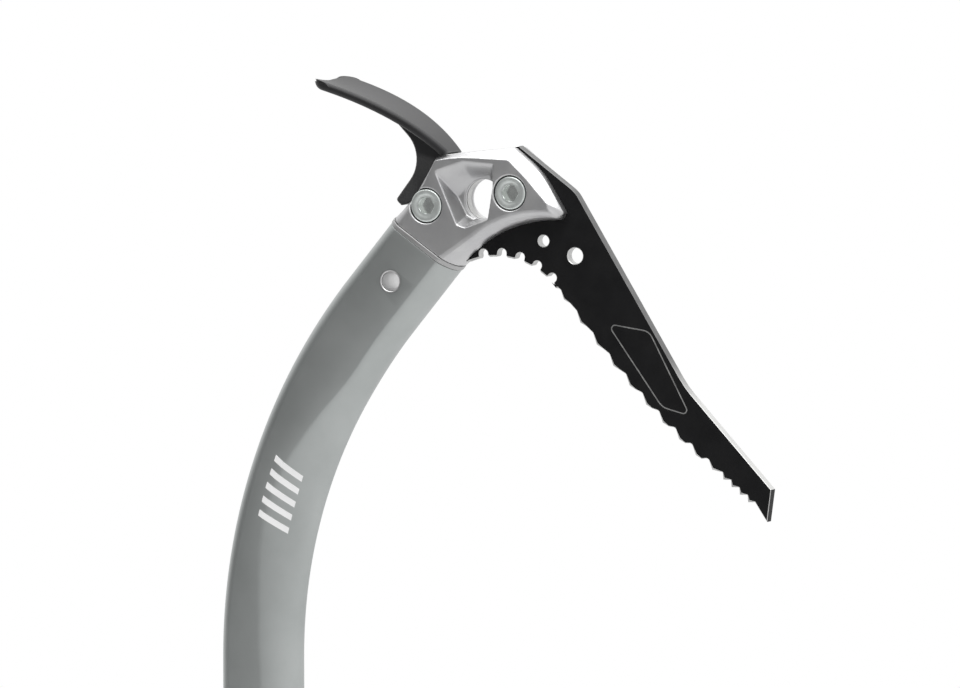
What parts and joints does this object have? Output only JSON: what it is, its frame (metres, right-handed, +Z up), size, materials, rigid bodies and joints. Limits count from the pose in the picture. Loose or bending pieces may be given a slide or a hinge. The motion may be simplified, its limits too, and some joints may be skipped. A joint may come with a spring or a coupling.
{
  "type": "ice axe",
  "caption": "Technical ice axe with a forged head, toothed pick, adze, bent aluminium shaft, trigger rest, grip, folding grip rest and spike.",
  "frame": {"origin": "centre of the carabiner eye in the head, on the tool's middle plane", "axes": "+Z up along the straight handle from spike to head, +X to the pick, Y across the tool's thickness"},
  "size_m": [0.2403, 0.031, 0.526],
  "materials": {
    "forged_alloy": "satin, bead-blasted",
    "bolt_steel": "zinc-plated, satin",
    "shaft_aluminium": "anodised, satin",
    "blade_black": "black coating, bare ground edges",
    "adze_grey": "dark grey coating, satin",
    "rubber": "matt, fine texture",
    "moulded_plastic": "fine moulded grain"
  },
  "bodies": {
    "axe": {"adze": "adze_grey", "end_cap": "forged_alloy", "front_bolt": "bolt_steel", "front_nut": "bolt_steel", "front_washer": "bolt_steel", "grip_core": "moulded_plastic", "grip_cover": "rubber", "griprest_pin": "bolt_steel", "griprest_spring": "bolt_steel", "head": "forged_alloy", "head_gasket": "rubber", "pick": "blade_black", "rear_bolt": "bolt_steel", "rear_nut": "bolt_steel", "rear_washer": "bolt_steel", "shaft_eyelet": "bolt_steel", "shaft_tube": "shaft_aluminium", "spike": "bolt_steel", "spike_pin_lower": "bolt_steel", "spike_pin_upper": "bolt_steel", "spring_screw": "bolt_steel"},
    "griprest": {"griprest": "moulded_plastic"},
    "trigger": {"trigger_rest": "moulded_plastic", "trigger_liner": "rubber", "trigger_pad": "rubber", "trigger_lever_pin": "bolt_steel"},
    "lever": {"trigger_lever": "bolt_steel"}
  },
  "joints": [
    {"name": "griprest_fold", "type": "hinge", "parent": "axe", "child": "griprest", "pos_m": [-0.06653, 0, -0.4431], "axis": [0, -1, 0], "range_deg": [0, 86]},
    {"name": "trigger_slide", "type": "slide", "parent": "axe", "child": "trigger", "axis": [0, 0, 1], "range_m": [0, 0.07]},
    {"name": "lever_swing", "type": "hinge", "parent": "trigger", "child": "lever", "pos_m": [-0.11813, 0, -0.28904], "axis": [0, -1, 0], "range_deg": [0, 100]}
  ]
}
